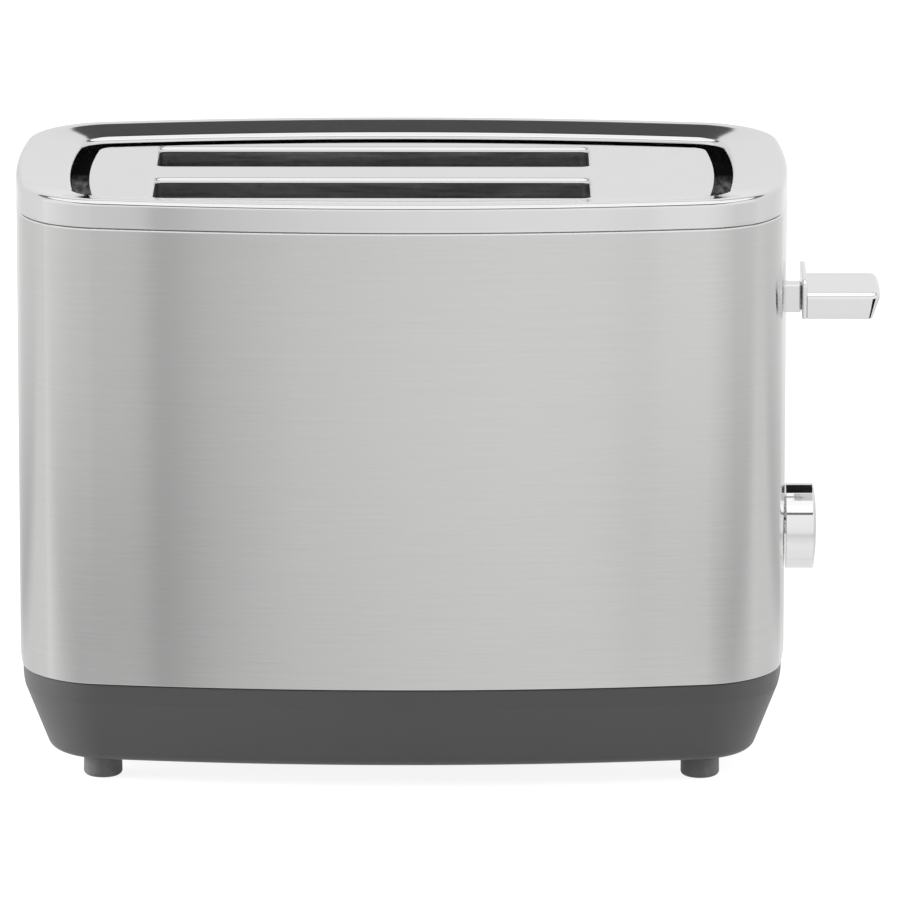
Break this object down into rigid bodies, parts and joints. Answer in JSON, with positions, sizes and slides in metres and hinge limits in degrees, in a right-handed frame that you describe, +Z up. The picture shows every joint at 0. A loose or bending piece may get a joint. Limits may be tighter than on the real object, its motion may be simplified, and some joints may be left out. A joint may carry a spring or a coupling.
{
  "type": "pop up toaster",
  "caption": "Two slice pop up toaster with a bowed brushed steel body, bright top ring and lever handle, browning knob and tapered grey base.",
  "frame": {"origin": "centre of the whole footprint, lever included, on the surface that the toaster stands on", "axes": "+X towards the lever end, along the bread slots; +Z up; the crumb tray slides out along +Y"},
  "size_m": [0.303, 0.1484, 0.2108],
  "materials": {
    "base_plastic": "moulded grey plastic, satin",
    "foot_rubber": "black rubber",
    "screw_steel": "zinc plated steel",
    "tray_steel": "plain steel sheet",
    "black_plastic": "black plastic",
    "brushed_sleeve": "brushed stainless steel, grain along the body",
    "bright_ring": "bright plated metal",
    "slot_plate": "bright plated sheet",
    "chassis_steel": "galvanised steel sheet",
    "reflector": "bright steel sheet",
    "mica": "mica sheet",
    "ribbon": "heating ribbon",
    "guard_wire": "steel wire",
    "rack_steel": "steel sheet",
    "carriage_steel": "steel sheet",
    "rod_steel": "ground steel rod",
    "spring_steel": "spring wire",
    "iron": "soft iron",
    "copper": "enamelled copper winding",
    "arm_steel": "bright steel bar",
    "bright_handle": "bright plated metal",
    "bright_knob": "bright plated metal",
    "board": "circuit board",
    "button_plastic": "grey plastic button"
  },
  "bodies": {
    "housing": {"base": "base_plastic", "feet": "foot_rubber", "base_screws": "screw_steel", "cord_gland": "black_plastic", "shell": "brushed_sleeve", "top_ring": "bright_ring", "slot_plate": "slot_plate", "chassis_left": "chassis_steel", "chassis_right": "chassis_steel", "reflector_front": "reflector", "reflector_rear": "reflector", "card_front": "mica", "card_middle": "mica", "card_rear": "mica", "winding_front": "ribbon", "winding_middle": "ribbon", "winding_rear": "ribbon", "guide_rod": "rod_steel", "return_spring": "spring_steel", "magnet_core": "iron", "magnet_coil": "copper", "control_board": "board", "board_parts": "black_plastic", "timer_pot": "black_plastic", "cancel_switch": "black_plastic"},
    "lever": {"lever_handle": "bright_handle", "lever_arm": "arm_steel", "carriage": "carriage_steel", "rack_front": "rack_steel", "rack_rear": "rack_steel", "armature": "iron"},
    "browning_knob": {"knob": "bright_knob", "knob_shaft": "rod_steel"},
    "cancel": {"cancel_button": "button_plastic"},
    "tray": {"crumb_tray": "tray_steel"},
    "guard_front_outer_cage": {"guard_front_outer": "guard_wire"},
    "guard_front_inner_cage": {"guard_front_inner": "guard_wire"},
    "guard_rear_inner_cage": {"guard_rear_inner": "guard_wire"},
    "guard_rear_outer_cage": {"guard_rear_outer": "guard_wire"}
  },
  "joints": [
    {"name": "lever_slide", "type": "slide", "parent": "housing", "child": "lever", "axis": [0, 0, 1], "range_m": [-0.054, 0], "stiffness_N_per_m": 200, "springref_m": 0.02, "deforming": ["return_spring"]},
    {"name": "knob_turn", "type": "hinge", "parent": "housing", "child": "browning_knob", "pos_m": [0.1195, 0, 0.079], "axis": [-1, 0, 0], "range_deg": [0, 270]},
    {"name": "cancel_press", "type": "slide", "parent": "housing", "child": "cancel", "axis": [-1, 0, 0], "range_m": [0, 0.0015], "stiffness_N_per_m": 300},
    {"name": "tray_slide", "type": "slide", "parent": "housing", "child": "tray", "axis": [0, 1, 0], "range_m": [0, 0.1]},
    {"name": "guard_front_outer_close", "type": "slide", "parent": "housing", "child": "guard_front_outer_cage", "axis": [0, 1, 0], "range_m": [0, 0.005]},
    {"name": "guard_front_inner_close", "type": "slide", "parent": "housing", "child": "guard_front_inner_cage", "axis": [0, -1, 0], "range_m": [0, 0.005]},
    {"name": "guard_rear_inner_close", "type": "slide", "parent": "housing", "child": "guard_rear_inner_cage", "axis": [0, 1, 0], "range_m": [0, 0.005]},
    {"name": "guard_rear_outer_close", "type": "slide", "parent": "housing", "child": "guard_rear_outer_cage", "axis": [0, -1, 0], "range_m": [0, 0.005]}
  ],
  "couplings": [
    {"joint": "guard_front_outer_close", "follows": "lever_slide", "ratio": -0.0925},
    {"joint": "guard_front_inner_close", "follows": "lever_slide", "ratio": -0.0925},
    {"joint": "guard_rear_inner_close", "follows": "lever_slide", "ratio": -0.0925},
    {"joint": "guard_rear_outer_close", "follows": "lever_slide", "ratio": -0.0925}
  ]
}
